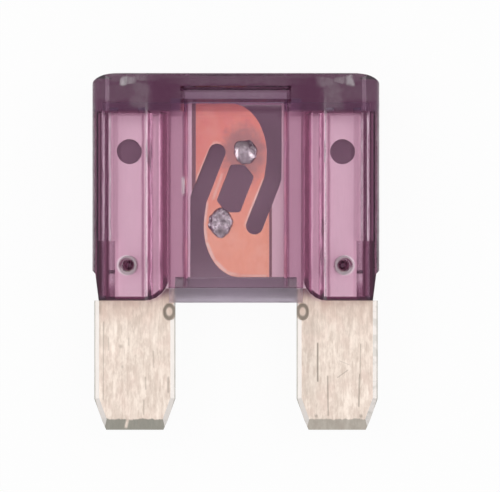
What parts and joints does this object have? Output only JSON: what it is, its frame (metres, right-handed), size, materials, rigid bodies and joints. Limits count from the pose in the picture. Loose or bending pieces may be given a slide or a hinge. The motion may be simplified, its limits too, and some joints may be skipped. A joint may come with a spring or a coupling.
{
  "type": "automotive blade fuse",
  "caption": "Large plug-in blade fuse: translucent moulded housing with a thin window over an S-shaped link that joins flat coined blades.",
  "frame": {"origin": "centre of the fuse's outline seen from the front, on the surface that it lies on", "axes": "+X across the two blades, +Y from the blade tips to the head, +Z out of the front window"},
  "size_m": [0.0284, 0.0354, 0.0089],
  "materials": {
    "housing_plastic": "glossy, see-through violet",
    "closure_plastic": "glossy, cloudy lavender",
    "tinned_copper": "brushed tin plate, bare copper in the milled middle",
    "tin": "soft bright tin"
  },
  "bodies": {
    "root": {"housing": "housing_plastic", "bottom_closure": "closure_plastic", "fuse_element": "tinned_copper", "tin_pill_upper": "tin", "tin_pill_lower": "tin"}
  },
  "joints": []
}
